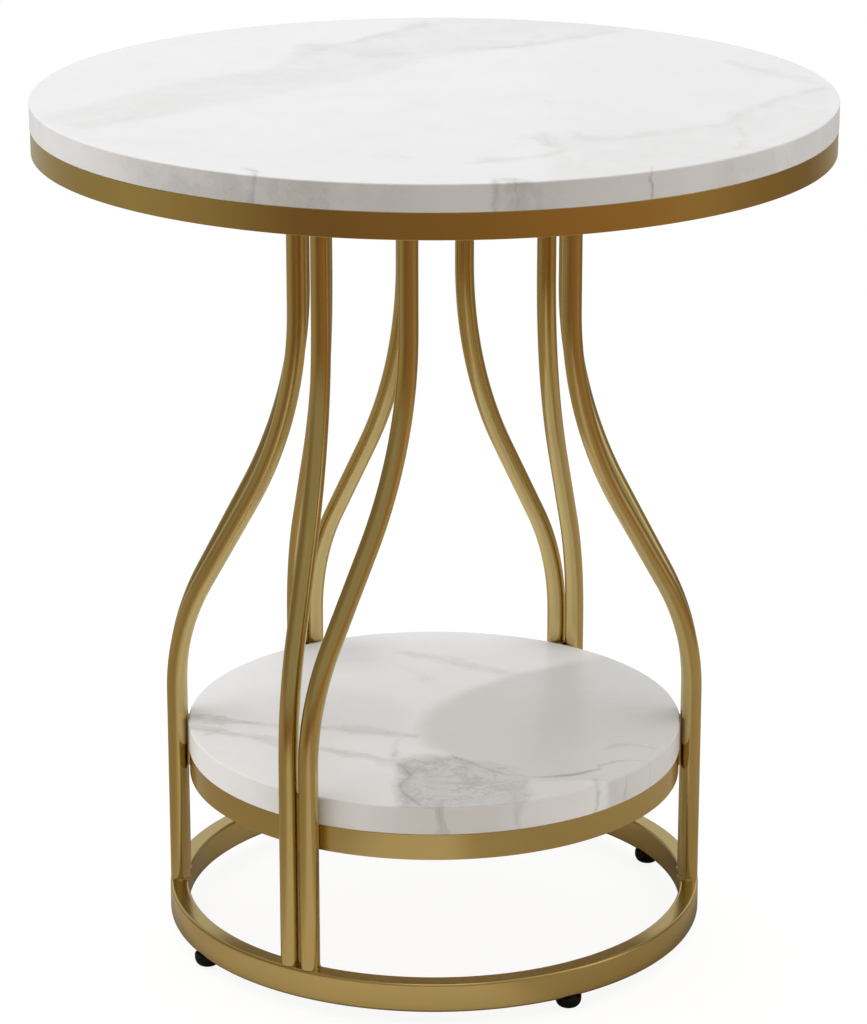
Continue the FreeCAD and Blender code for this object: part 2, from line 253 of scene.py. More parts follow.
topVeins = [
    dict(turn=60, width=3, soft=12, strength=0.3, fade=14, line=[(-55, 155), (-35, 185), (0, 240)]),
    dict(turn=60, width=10, soft=12, strength=0.26, fade=10, line=[(-90, 120), (-85, 140), (-70, 160)]),
    dict(turn=40, width=12, soft=22, strength=0.16, fade=16, line=[(-60, 110), (-10, 130), (20, 135)]),
    dict(turn=30, width=2, soft=12, strength=0.22, fade=12,
         line=[(-10, 130), (55, 150), (95, 180), (130, 205)]),
    dict(turn=-50, width=1.5, soft=12, strength=0.22, fade=14, line=[(180, 110), (210, 65), (250, 10)]),
    dict(turn=50, width=2.5, soft=11, strength=0.28, fade=6,
         line=[(250, 15), (220, -10), (195, -50), (175, -95)]),
    dict(turn=20, width=3, soft=15, strength=0.24, fade=8,
         line=[(180, -90), (150, -105), (105, -130), (85, -125), (70, -110)]),
    dict(turn=90, width=4, soft=9, strength=0.34, fade=8, line=[(70, -110), (65, -140), (75, -160)]),
    dict(turn=30, width=2.5, soft=8, strength=0.28, fade=12,
         line=[(80, -160), (60, -180), (35, -190), (15, -200)]),
    dict(turn=90, width=1.5, soft=6, strength=0.22, fade=14, line=[(180, -90), (180, -130), (175, -165)]),
    dict(turn=90, width=0.8, soft=5, strength=0.08, fade=16, line=[(70, -10), (70, -90)]),
    dict(turn=10, width=2, soft=9, strength=0.1, fade=10, line=[(-45, -175), (-20, -180), (-10, -185)]),
    dict(turn=-85, width=1.5, soft=3, strength=0.8, fade=6, line=[(-110, -205), (-100, -230), (-105, -260)]),
    dict(turn=85, width=2.5, soft=4, strength=0.5, fade=3, line=[(35, -235), (35, -260)]),
    dict(turn=80, width=9, soft=8, strength=0.48, fade=3, line=[(45, -235), (50, -260)]),
    dict(turn=90, width=1, soft=2.5, strength=0.55, fade=3, line=[(125, -205), (125, -240)]),
]
shelfCloudsAndShadows = [
    # painted shadow: the top board's shadow over the right part of the shelf
    dict(turn=90, soft=24, strength=0.77, fade=4,
         below=[(120, 160), (105, 110), (50, 70), (10, 30), (-10, -20), (-5, -55), (30, -90), (60, -120)]),
    dict(turn=0, soft=16, strength=0.98, fade=9, cracked=True, only="flat",
         below=[(-27, -92), (-15, -75), (10, -72), (30, -80), (55, -100), (65, -112)]),
    # more of the top board's painted shadow, at the shelf's front right
    dict(turn=0, soft=16, strength=0.5, fade=8, only="flat",
         below=[(40, -100), (60, -105), (100, -95), (150, -70), (165, -60)]),
    # painted shade on the shelf's front edge only
    dict(turn=0, soft=20, strength=0.42, fade=24, only="side", below=[(-45, -120), (60, -120)]),
    dict(turn=0, soft=34, strength=0.3, fade=50,
         above=[(-110, -25), (-60, -35), (-30, -45), (20, -55)],
         below=[(-110, 40), (-60, 45), (-30, 30), (20, -20)]),
    dict(turn=90, soft=44, strength=0.5, fade=34,
         above=[(-30, 70), (-35, 100), (-25, 160)], below=[(-85, 50), (-80, 100), (-75, 160)]),
]
shelfVeinsAndTubeShadows = [
    # painted shadows, not veins: the next two streaks are the shadows of the left pair of tubes
    dict(turn=-15, width=7, soft=5, strength=0.52, fade=3,
         line=[(-165, 0), (-105, -20), (-70, -25), (-10, -40)]),
    dict(turn=-25, width=6, soft=5, strength=0.46, fade=3, line=[(-165, -20), (-100, -50), (-20, -85)]),
    dict(turn=-30, width=7, soft=9, strength=0.3, fade=10, line=[(-30, 120), (0, 105), (30, 85), (55, 75)]),
    dict(turn=-40, width=5, soft=9, strength=0.26, fade=10, line=[(-25, 95), (-10, 75), (5, 60)]),
    dict(turn=-30, width=1, soft=4, strength=0.8, fade=6, line=[(10, -70), (25, -90), (50, -110)]),
    dict(turn=10, width=1.2, soft=4, strength=0.8, fade=4, line=[(45, -105), (70, -110), (105, -95)]),
    dict(turn=30, width=0.8, soft=4, strength=0.5, fade=6, line=[(100, -100), (110, -85), (140, -85)]),
    dict(turn=90, width=1.2, soft=4.5, strength=0.75, fade=4,
         line=[(-25, -80), (-15, -105), (-20, -125), (-5, -160)]),
    dict(turn=0, width=3, soft=7, strength=0.55, fade=8, line=[(-10, -115), (30, -120), (50, -115)]),
    dict(turn=90, width=1.5, soft=6, strength=0.4, fade=6, line=[(-20, -40), (-25, -55), (-25, -80)]),
    dict(turn=60, width=1, soft=5, strength=0.32, fade=8,
         line=[(50, -110), (55, -120), (50, -140), (55, -160)]),
    dict(turn=90, width=5, soft=4, strength=0.5, fade=3, line=[(5, -145), (5, -165)]),
    dict(turn=0, width=1, soft=4, strength=0.35, fade=6, line=[(105, -65), (120, -55), (145, -65)]),
    dict(turn=90, width=0.6, soft=2.5, strength=0.34, fade=4, line=[(100, -110), (100, -140)]),
    dict(turn=60, width=0.6, soft=2.5, strength=0.32, fade=4, line=[(115, -95), (125, -120)]),
]

# Both films carry painted shade, and the shelf's film carries painted shadows of the top board and tubes.
topMarbleAndEdgeShade = marbleFilm("marble film and painted edge shade on top board", marbleLook, topCloudsAndEdgeShade, topVeins)
shelfMarbleAndShadows = marbleFilm("marble film and painted shadows on shelf", shelfLook, shelfCloudsAndShadows, shelfVeinsAndTubeShadows)

# Brass-plated steel, brushed before plating: a soft stretched reflection and fine lines that
# run along the tubes and round the hoops. The lines are drawn wider than real brushing leaves
# them, so that they show.
brassLook = {
    "colour": "#D1BC82", "deep": "#C8B177", "patchSize": 60.0, "smoothest": 0.17, "roughest": 0.25,
    "brushWidth": 0.8, "brushLength": 26.0, "brushDepth": 0.002,
    "hoopRadius": 200.0,   # mm, turns the angle round a hoop into a length
}


def satinBrass(name, look, lay):
    material, tree, shader = newMaterial(name)
    coordinates = addNode(tree, "ShaderNodeTexCoord").outputs["Object"]
    width, length = look["brushWidth"] * mm, look["brushLength"] * mm
    if lay == "along tube":
        place = addNode(tree, "ShaderNodeAttribute", attribute_name="tubeRun").outputs["Vector"]
        scale = (1 / width, 1 / width, 1 / length)
    elif lay == "round hoop":
        parts = addNode(tree, "ShaderNodeSeparateXYZ", {0: coordinates}).outputs
        angle = addNode(tree, "ShaderNodeMath", {0: parts["Y"], 1: parts["X"]}, operation="ARCTAN2")
        flat = addNode(tree, "ShaderNodeCombineXYZ", {"X": parts["X"], "Y": parts["Y"]})
        reach = addNode(tree, "ShaderNodeVectorMath", {0: flat}, operation="LENGTH")
        place = addNode(tree, "ShaderNodeCombineXYZ", {"X": reach, "Y": angle, "Z": parts["Z"]})
        scale = (1 / width, look["hoopRadius"] * mm / length, 1 / width)
    else:
        place = coordinates
        scale = (1 / width, 1 / width, 1 / width)
    mapped = addNode(tree, "ShaderNodeMapping", {"Vector": place, "Scale": scale})
    brushed = addNode(tree, "ShaderNodeTexNoise", {
        "Vector": mapped, "Scale": 1.0, "Detail": 3.0, "Roughness": 0.6})
    patches = addNode(tree, "ShaderNodeTexNoise", {
        "Vector": coordinates, "Scale": 1 / (look["patchSize"] * mm), "Detail": 2.0})
    colour = addNode(tree, "ShaderNodeMix", {
        "Factor": patches, "A": toLinear(look["deep"]), "B": toLinear(look["colour"])}, data_type="RGBA")
    rough = addNode(tree, "ShaderNodeMapRange", {
        "Value": brushed, "To Min": look["smoothest"], "To Max": look["roughest"]})
    bump = addNode(tree, "ShaderNodeBump", {
        "Height": brushed, "Distance": look["brushDepth"] * mm, "Strength": 0.5})
    giveInputs(shader, {"Base Color": colour, "Metallic": 1.0, "Roughness": rough, "Normal": bump})
    return material


tubeBrass = satinBrass("satin brass along tubes", brassLook, "along tube")
hoopBrass = satinBrass("satin brass round hoops", brassLook, "round hoop")
plateBrass = satinBrass("satin brass on plates", brassLook, "all ways")


# Bright zinc on screws, studs and rivet nuts: a cool grey metal with a faint cloudy haze.
def brightZinc():
    look = {"colour": "#B4B8BC", "haze": "#8E9498", "roughness": 0.34, "hazeSize": 2.5}
    material, tree, shader = newMaterial("bright zinc plating")
    place = addNode(tree, "ShaderNodeTexCoord").outputs["Object"]
    haze = addNode(tree, "ShaderNodeTexNoise", {
        "Vector": place, "Scale": 1 / (look["hazeSize"] * mm), "Detail": 3.0})
    colour = addNode(tree, "ShaderNodeMix", {
        "Factor": haze, "A": toLinear(look["colour"]), "B": toLinear(look["haze"])}, data_type="RGBA")
    giveInputs(shader, {"Base Color": colour, "Metallic": 1.0, "Roughness": look["roughness"]})
    return material


# Moulded nylon of the feet: near-black, finely textured by the mould, a dull wide sheen. Its grain
# is drawn coarser than the real one, so that it shows.
def blackNylon():
    look = {"colour": "#080809", "roughness": 0.42, "grainSize": 0.6, "grainDepth": 0.03, "ior": 1.53,
            "sheen": 0.2}
    material, tree, shader = newMaterial("black moulded nylon")
    place = addNode(tree, "ShaderNodeTexCoord").outputs["Object"]
    grain = addNode(tree, "ShaderNodeTexNoise", {
        "Vector": place, "Scale": 1 / (look["grainSize"] * mm), "Detail": 2.0})
    bump = addNode(tree, "ShaderNodeBump", {"Height": grain, "Distance": look["grainDepth"] * mm})
    giveInputs(shader, {
        "Base Color": toLinear(look["colour"]), "Roughness": look["roughness"], "IOR": look["ior"],
        "Specular IOR Level": look["sheen"], "Normal": bump})
    return material


# Balancing paper on the undersides of the boards: plain light brown, matt, with a faint fibre fleck.
def backingPaper():
    look = {"colour": "#C9BBA5", "fleck": "#B3A38B", "roughness": 0.7, "fleckSize": 1.6, "fibreDepth": 0.02}
    material, tree, shader = newMaterial("brown balancing paper")
    place = addNode(tree, "ShaderNodeTexCoord").outputs["Object"]
    fibres = addNode(tree, "ShaderNodeTexNoise", {
        "Vector": place, "Scale": 1 / (look["fleckSize"] * mm), "Detail": 4.0, "Distortion": 1.2})
    share = addNode(tree, "ShaderNodeMapRange", {"Value": fibres, "From Min": 0.55, "From Max": 0.75})
    colour = addNode(tree, "ShaderNodeMix", {
        "Factor": share, "A": toLinear(look["colour"]), "B": toLinear(look["fleck"])}, data_type="RGBA")
    bump = addNode(tree, "ShaderNodeBump", {"Height": fibres, "Distance": look["fibreDepth"] * mm})
    giveInputs(shader, {"Base Color": colour, "Roughness": look["roughness"], "Normal": bump})
    return material


zinc = brightZinc()
nylon = blackNylon()
backing = backingPaper()
print("materials made")


def newPiece(name, data):
    piece = bpy.data.objects.new(name, data)
    bpy.context.scene.collection.objects.link(piece)
    return piece


def newTree(name, inputs):
    tree = bpy.data.node_groups.new(name, "GeometryNodeTree")
    tree.interface.new_socket("Geometry", in_out="INPUT", socket_type="NodeSocketGeometry")
    tree.interface.new_socket("Geometry", in_out="OUTPUT", socket_type="NodeSocketGeometry")
    for inputName, kind, value in inputs:
        socket = tree.interface.new_socket(inputName, in_out="INPUT", socket_type="NodeSocket" + kind)
        if value is not None:
            socket.default_value = value
    return tree, addNode(tree, "NodeGroupInput").outputs


# Smooth faces with sharp edges kept, then the finish, as every tree here ends.
def endTree(tree, geometry, material):
    smooth = addNode(tree, "GeometryNodeSetShadeSmooth", {"Geometry": geometry}, domain="FACE")
    angle = addNode(tree, "GeometryNodeInputMeshEdgeAngle").outputs["Unsigned Angle"]
    steep = addNode(tree, "FunctionNodeCompare", {"A": angle, "B": sharpAngle}, operation="GREATER_THAN")
    sharp = addNode(tree, "GeometryNodeSetShadeSmooth", {
        "Geometry": smooth, "Selection": steep, "Shade Smooth": False}, domain="EDGE")
    real = addNode(tree, "GeometryNodeRealizeInstances", {"Geometry": sharp})
    finish = addNode(tree, "GeometryNodeSetMaterial", {"Geometry": real, "Material": material})
    addNode(tree, "NodeGroupOutput", {"Geometry": finish})


# A piece made by running a tree on a seed mesh. It ends as a plain mesh with large faces shaded flat.
def growPiece(name, tree, values, seed=None):
    piece = newPiece(name, seed or bpy.data.meshes.new(name))
    modifier = piece.modifiers.new("grow", "NODES")
    modifier.node_group = tree
    identifiers = {item.name: item.identifier for item in tree.interface.items_tree if item.in_out == "INPUT"}
    for label, value in values.items():
        modifier[identifiers[label]] = value
    weighted = piece.modifiers.new("flat faces", "WEIGHTED_NORMAL")
    weighted.keep_sharp = True
    graph = bpy.context.evaluated_depsgraph_get()
    mesh = bpy.data.meshes.new_from_object(
        piece.evaluated_get(graph), preserve_all_data_layers=True, depsgraph=graph)
    piece.modifiers.clear()
    mesh.name = name
    piece.data = mesh
    return piece


def dress(piece, body, slot, *nodes):
    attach(piece, body)
    if nodes:
        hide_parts(*nodes)


# A spot in mm on a circle round the upright axis.
def onCircle(radius, degrees, height=0.0):
    turn = math.radians(degrees)
    return Vector((radius * math.cos(turn), radius * math.sin(turn), height))


# A profile of (radius, height) pairs turned about an upright line; a radius of 0 closes to a point.
def turnedMesh(name, profile, segments, centre=Vector((0, 0, 0))):
    shape = bmesh.new()
    rings = []
    for radius, height in profile:
        count = segments if radius else 1
        rings.append([shape.verts.new((centre + onCircle(radius, 360 * n / segments, height)) * mm)
                      for n in range(count)])
    for low, high in zip(rings, rings[1:]):
        for n in range(segments):
            m = (n + 1) % segments
            corners = [low[n % len(low)], low[m % len(low)], high[m % len(high)], high[n % len(high)]]
            shape.faces.new(list(dict.fromkeys(corners)))
    bmesh.ops.recalc_face_normals(shape, faces=shape.faces)
    for face in shape.faces:
        face.smooth = True
    for edge in shape.edges:
        edge.smooth = edge.calc_face_angle(0) < sharpAngle
    mesh = bpy.data.meshes.new(name)
    shape.to_mesh(mesh)
    shape.free()
    return mesh


def arc(centreRadius, centreHeight, radius, fromAngle, toAngle, steps):
    angles = [math.radians(fromAngle + (toAngle - fromAngle) * n / steps) for n in range(steps + 1)]
    return [(centreRadius + radius * math.cos(a), centreHeight + radius * math.sin(a)) for a in angles]


# The two marble boards, with their edges rounded.
boards = {
    "marbleTop": {"radius": 250.0, "underside": 534.5, "thickness": 16.5, "edge": 1.2, "lowEdge": 0.5,
                  "node": "top_board", "finish": topMarbleAndEdgeShade},
    "marbleShelf": {"radius": 160.0, "underside": 121.5, "thickness": 18.0, "edge": 1.2, "lowEdge": 0.5,
                    "node": "shelf_board", "finish": shelfMarbleAndShadows},
}


def makeBoard(name, board):
    edge, lowEdge, low = board["edge"], board["lowEdge"], board["underside"]
    high, middle = low + board["thickness"], board["radius"] / 2
    profile = [(0, low), (middle, low)] + arc(board["radius"] - lowEdge, low + lowEdge, lowEdge, -90, 0, 5)
    profile += arc(board["radius"] - edge, high - edge, edge, 0, 90, 6) + [(middle, high), (0, high)]
    piece = newPiece(name, turnedMesh(name, profile, segments=256))
    piece.data.materials.append(board["finish"])
    piece.data.materials.append(backing)
    for face in piece.data.polygons:
        flatUnderside = face.normal.z < -0.99
        face.material_index = 1 if flatUnderside else 0
    weighted = piece.modifiers.new("flat faces", "WEIGHTED_NORMAL")
    weighted.keep_sharp = True
    dress(piece, "table", "marble_film_board", board["node"])


for name, board in boards.items():
    makeBoard(name, board)
print("boards made")

# Five pairs of bent tubes. Each bends inwards above the shelf and upright again below the top.
tubes = {
    "angles": {"right": 0.0, "back_right": 57.5, "back_left": 122.0, "left": 180.0, "front": 240.0},
    "diameter": 12.5, "gap": 1.8, "circle": 167.25, "headCircle": 91.0, "headSpread": 40.0,
    "foot": 27.5, "head": 531.5, "bendStart": 159.0, "bendAngle": 29.4,
    "lowerRadius": 155.0, "upperRadius": 266.0,
}


def bentTubeTree():
    tree, given = newTree("bent tube", [
        ("Foot", "Vector", None), ("Lower Corner", "Vector", None), ("Upper Corner", "Vector", None),
        ("Head", "Vector", None), ("Lower Radius", "Float", 0.155), ("Upper Radius", "Float", 0.266),
        ("Tube Radius", "Float", 0.006), ("Finish", "Material", None)])
    line = addNode(tree, "GeometryNodeCurvePrimitiveLine", {"Start": given["Foot"], "End": given["Head"]})
    four = addNode(tree, "GeometryNodeResampleCurve", {"Curve": line, "Count": 4})
    index = addNode(tree, "GeometryNodeInputIndex")
    corner = addNode(tree, "GeometryNodeIndexSwitch", {"Index": index}, data_type="VECTOR")
    corner.index_switch_items.new()
    corner.index_switch_items.new()
    giveInputs(corner, {
        "0": given["Foot"], "1": given["Lower Corner"], "2": given["Upper Corner"], "3": given["Head"]})
    placed = addNode(tree, "GeometryNodeSetPosition", {"Geometry": four, "Position": corner})
    upper = addNode(tree, "FunctionNodeCompare", {"A": index, "B": 2}, data_type="INT",
                    operation="GREATER_EQUAL")
    radius = addNode(tree, "GeometryNodeSwitch", {
        "Switch": upper, "False": given["Lower Radius"], "True": given["Upper Radius"]}, input_type="FLOAT")
    bent = addNode(tree, "GeometryNodeFilletCurve", {"Curve": placed, "Count": 20, "Radius": radius},
                   mode="POLY")
    along = addNode(tree, "GeometryNodeCaptureAttribute", {"Geometry": bent})
    along.capture_items.new("FLOAT", "Run")
    giveInputs(along, {"Run": addNode(tree, "GeometryNodeSplineParameter").outputs["Length"]})
    section = addNode(tree, "GeometryNodeCurvePrimitiveCircle", {
        "Resolution": 40, "Radius": given["Tube Radius"]})
    around = addNode(tree, "GeometryNodeCaptureAttribute", {"Geometry": section})
    around.capture_items.new("VECTOR", "Place")
    giveInputs(around, {"Place": addNode(tree, "GeometryNodeInputPosition")})
    tube = addNode(tree, "GeometryNodeCurveToMesh", {
        "Curve": along, "Profile Curve": around, "Fill Caps": True})
    # the place on the straight tube before it was bent, which the brushing follows
    straight = addNode(tree, "ShaderNodeSeparateXYZ", {0: around.outputs["Place"]}).outputs
    place = addNode(tree, "ShaderNodeCombineXYZ", {
        "X": straight["X"], "Y": straight["Y"], "Z": along.outputs["Run"]})
    stored = addNode(tree, "GeometryNodeStoreNamedAttribute", {
        "Geometry": tube, "Name": "tubeRun", "Value": place}, data_type="FLOAT_VECTOR")
    endTree(tree, stored, given["Finish"])
    return tree


# Where the axis of a tube stands; side is -1 or 1 for the two tubes of a pair.
def tubeFoot(angle, side):
    offset = side * (tubes["diameter"] + tubes["gap"]) / 2
    return onCircle(tubes["circle"], angle) + onCircle(offset, angle + 90)


tubeTree = bentTubeTree()
upright = Vector((0, 0, 1))
lean = math.radians(tubes["bendAngle"])
lowCorner = tubes["bendStart"] + tubes["lowerRadius"] * math.tan(lean / 2)
for pair, angle in tubes["angles"].items():
    for letter, side in (("a", -1), ("b", 1)):
        foot = tubeFoot(angle, side)
        head = onCircle(tubes["headCircle"], angle + side * tubes["headSpread"] / 2)
        highCorner = lowCorner + (head - foot).length / math.tan(lean)
        piece = growPiece(f"legTube_{pair}_{letter}", tubeTree, {
            "Foot": (foot + upright * tubes["foot"]) * mm, "Lower Corner": (foot + upright * lowCorner) * mm,
            "Upper Corner": (head + upright * highCorner) * mm, "Head": (head + upright * tubes["head"]) * mm,
            "Lower Radius": tubes["lowerRadius"] * mm, "Upper Radius": tubes["upperRadius"] * mm,
            "Tube Radius": tubes["diameter"] / 2 * mm, "Finish": tubeBrass})
        dress(piece, "table", "satin_brass_steel", f"{pair}_leg_tube_{letter}")
print("tubes made")

# The flat bands under both boards and the square tube ring that the legs stand on.
hoops = {
    "topBand": {"radius": 249.7, "width": 2.0, "height": 16.0, "underside": 518.5, "corner": 0.35,
                "node": "top_hoop"},
    "shelfBand": {"radius": 159.7, "width": 2.0, "height": 17.0, "underside": 104.5, "corner": 0.35,
                  "node": "shelf_hoop"},
    "baseRing": {"radius": 174.0, "width": 12.0, "height": 19.5, "underside": 8.0, "corner": 2.0,
                 "node": "base_ring"},
}


def hoopTree():
    tree, given = newTree("hoop", [
        ("Radius", "Float", 0.25), ("Width", "Float", 0.002), ("Height", "Float", 0.016),
        ("Underside", "Float", 0.5), ("Corner", "Float", 0.0004), ("Finish", "Material", None)])
    halfWidth = addNode(tree, "ShaderNodeMath", {0: given["Width"], 1: 0.5}, operation="MULTIPLY")
    middle = addNode(tree, "ShaderNodeMath", {0: given["Radius"], 1: halfWidth}, operation="SUBTRACT")
    path = addNode(tree, "GeometryNodeCurvePrimitiveCircle", {"Resolution": 256, "Radius": middle})
    section = addNode(tree, "GeometryNodeCurvePrimitiveQuadrilateral", {
        "Width": given["Width"], "Height": given["Height"]})
    rounded = addNode(tree, "GeometryNodeFilletCurve", {
        "Curve": section, "Count": 5, "Radius": given["Corner"]}, mode="POLY")
    swept = addNode(tree, "GeometryNodeCurveToMesh", {"Curve": path, "Profile Curve": rounded})
    middleHeight = addNode(tree, "ShaderNodeMath", {0: given["Height"], 1: 0.5, 2: given["Underside"]},
                           operation="MULTIPLY_ADD")
    lift = addNode(tree, "ShaderNodeCombineXYZ", {"Z": middleHeight})
    lifted = addNode(tree, "GeometryNodeTransform", {"Geometry": swept, "Translation": lift})
    endTree(tree, lifted, given["Finish"])
    return tree


ringTree = hoopTree()
for name, hoop in hoops.items():
    piece = growPiece(name, ringTree, {
        "Radius": hoop["radius"] * mm, "Width": hoop["width"] * mm, "Height": hoop["height"] * mm,
        "Underside": hoop["underside"] * mm, "Corner": hoop["corner"] * mm, "Finish": hoopBrass})
    dress(piece, "table", "satin_brass_steel", hoop["node"])
print("hoops made")

# Ground-down fillets where the tubes stand on the base ring, open at the ring's outer face. They
# taper at both ends and are a little uneven, as shares of their thickness.
beads = {"open": 62.0, "thickness": 1.5, "lift": 0.15, "taper": 0.35, "tip": 0.05, "uneven": (0.88, 1.06)}


def beadTree():
    tree, given = newTree("weld beads", [
        ("Tube Radius", "Float", 0.006), ("Open Angle", "Float", 1.0), ("Thickness", "Float", 0.001),
        ("Finish", "Material", None)])
    sweep = addNode(tree, "ShaderNodeMath", {0: given["Open Angle"], 1: -2.0, 2: 2 * math.pi},
                    operation="MULTIPLY_ADD")
    bend = addNode(tree, "GeometryNodeCurveArc", {
        "Resolution": 36, "Radius": given["Tube Radius"], "Start Angle": given["Open Angle"],
        "Sweep Angle": sweep})
    run = addNode(tree, "GeometryNodeSplineParameter").outputs["Factor"]
    way = addNode(tree, "ShaderNodeMath", {0: run, 1: math.pi}, operation="MULTIPLY")
    rise = addNode(tree, "ShaderNodeMath", {0: way}, operation="SINE")
    full = addNode(tree, "ShaderNodeMath", {0: rise, 1: beads["taper"]}, operation="POWER")
    index = addNode(tree, "GeometryNodeInputIndex")
    least, most = beads["uneven"]
    uneven = addNode(tree, "FunctionNodeRandomValue", {"Min": least, "Max": most, "ID": index, "Seed": 3},
                     data_type="FLOAT")
    size = addNode(tree, "ShaderNodeMath", {0: full, 1: uneven}, operation="MULTIPLY")
    size = addNode(tree, "ShaderNodeMath", {0: size, 1: beads["tip"]}, operation="MAXIMUM")
    half = addNode(tree, "ShaderNodeMath", {0: given["Thickness"], 1: 0.5}, operation="MULTIPLY")
    section = addNode(tree, "GeometryNodeCurvePrimitiveCircle", {"Resolution": 10, "Radius": half})
    bead = addNode(tree, "GeometryNodeCurveToMesh", {
        "Curve": bend, "Profile Curve": section, "Scale": size, "Fill Caps": True})
    outward = addNode(tree, "GeometryNodeInputNamedAttribute", {"Name": "outward"}, data_type="FLOAT")
    turn = addNode(tree, "ShaderNodeCombineXYZ", {"Z": outward})
    spread = addNode(tree, "GeometryNodeInstanceOnPoints", {
        "Points": given["Geometry"], "Instance": bead, "Rotation": turn})
    endTree(tree, spread, given["Finish"])
    return tree


# A mesh of single points, for a tree to put things on.
def seatPoints(name, seats):
    mesh = bpy.data.meshes.new(name)
    mesh.from_pydata([seat * mm for seat in seats], [], [])
    return mesh


stands = [(angle, side) for angle in tubes["angles"].values() for side in (-1, 1)]
ringTop = Vector((0, 0, tubes["foot"] + beads["lift"]))
seatMesh = seatPoints("weldBeads", [tubeFoot(angle, side) + ringTop for angle, side in stands])
outward = seatMesh.attributes.new("outward", "FLOAT", "POINT")
for number, (angle, _) in enumerate(stands):
    outward.data[number].value = math.radians(angle)
piece = growPiece("weldBeads", beadTree(), {
    "Tube Radius": tubes["diameter"] / 2 * mm, "Open Angle": math.radians(beads["open"]),
    "Thickness": beads["thickness"] * mm, "Finish": plateBrass}, seatMesh)
dress(piece, "table", "satin_brass_steel")

screws = {
    "headDiameter": 8.0, "headHeight": 2.4, "crossLength": 4.6, "crossWidth": 0.95, "crossDepth": 1.3,
    "topUnderside": 531.5, "hubCircle": 91.0, "spokeCircle": 225.7, "spokes": 6,
    "shelfUnderside": 118.5, "tabCircle": 145.7,
    # from the seat down: share of the head's height, and how far the head narrows there
    "dome": ((0.42, 1.0), (0.2, 0.95), (0.17, 0.9), (0.13, 0.82), (0.08, 0.7)),
}


# Pan heads with a cross recess, which point down, each turned as the driver left it.
def screwTree():
    tree, given = newTree("pan head screws", [
        ("Head Diameter", "Float", 0.008), ("Head Height", "Float", 0.0024),
        ("Cross Length", "Float", 0.0046), ("Cross Width", "Float", 0.001), ("Cross Depth", "Float", 0.0013),
        ("Seed", "Int", 4), ("Finish", "Material", None)])
    radius = addNode(tree, "ShaderNodeMath", {0: given["Head Diameter"], 1: 0.5}, operation="MULTIPLY")
    disc = addNode(tree, "GeometryNodeMeshCircle", {"Vertices": 32, "Radius": radius}, fill_type="NGON")
    shape = addNode(tree, "GeometryNodeFlipFaces", {"Mesh": disc})
    down = addNode(tree, "ShaderNodeCombineXYZ", {"Z": -1.0})
    chosen = {}
    for share, narrowing in screws["dome"]:
        drop = addNode(tree, "ShaderNodeMath", {0: given["Head Height"], 1: share}, operation="MULTIPLY")
        step = addNode(tree, "GeometryNodeExtrudeMesh", {
            "Mesh": shape, "Offset": down, "Offset Scale": drop, "Individual": False, **chosen}, mode="FACES")
        chosen = {"Selection": step.outputs["Top"]}
        shape = addNode(tree, "GeometryNodeScaleElements", {"Geometry": step, "Scale": narrowing, **chosen},
                        domain="FACE")
    both = addNode(tree, "GeometryNodeJoinGeometry", {"Geometry": [shape, disc]})
    closed = addNode(tree, "GeometryNodeMergeByDistance", {"Geometry": both, "Distance": 1e-6})
    crown = addNode(tree, "ShaderNodeMath", {0: given["Head Height"], 1: -1.0}, operation="MULTIPLY")
    low = addNode(tree, "ShaderNodeCombineXYZ", {"Z": crown})
    bars = []
    # one bar is a little shallower, so that no two of their faces lie in one plane
    for turn, reach in ((0.0, 2.0), (math.pi / 2, 1.92)):
        depth = addNode(tree, "ShaderNodeMath", {0: given["Cross Depth"], 1: reach}, operation="MULTIPLY")
        size = addNode(tree, "ShaderNodeCombineXYZ", {
            "X": given["Cross Length"], "Y": given["Cross Width"], "Z": depth})
        bar = addNode(tree, "GeometryNodeMeshCube", {"Size": size})
        bars.append(addNode(tree, "GeometryNodeTransform", {
            "Geometry": bar, "Translation": low, "Rotation": (0, 0, turn)}))
    cut = addNode(tree, "GeometryNodeMeshBoolean", {"Mesh 1": closed, "Mesh 2": bars}, operation="DIFFERENCE")
    spin = addNode(tree, "FunctionNodeRandomValue", {"Min": 0.0, "Max": math.pi, "Seed": given["Seed"]},
                   data_type="FLOAT")
    turn = addNode(tree, "ShaderNodeCombineXYZ", {"Z": spin})
    spread = addNode(tree, "GeometryNodeInstanceOnPoints", {
        "Points": given["Geometry"], "Instance": cut, "Rotation": turn})
    endTree(tree, spread, given["Finish"])
    return tree


panHeads = screwTree()
pairAngles = tubes["angles"].values()
spokeAngles = [360 / screws["spokes"] * n for n in range(screws["spokes"])]
topSeats = [onCircle(screws["hubCircle"], angle, screws["topUnderside"]) for angle in pairAngles]
topSeats += [onCircle(screws["spokeCircle"], angle, screws["topUnderside"]) for angle in spokeAngles]
shelfSeats = [onCircle(screws["tabCircle"], angle, screws["shelfUnderside"]) for angle in pairAngles]
for name, seats, node in (
        ("topScrewHeads", topSeats, "top_screws"), ("shelfScrewHeads", shelfSeats, "shelf_screws")):
    piece = growPiece(name, panHeads, {
        "Head Diameter": screws["headDiameter"] * mm, "Head Height": screws["headHeight"] * mm,
        "Cross Length": screws["crossLength"] * mm, "Cross Width": screws["crossWidth"] * mm,
        "Cross Depth": screws["crossDepth"] * mm, "Seed": len(seats), "Finish": zinc},
        seatPoints(name, seats))
    dress(piece, "table", "zinc_steel", node)
print("beads and screws made")

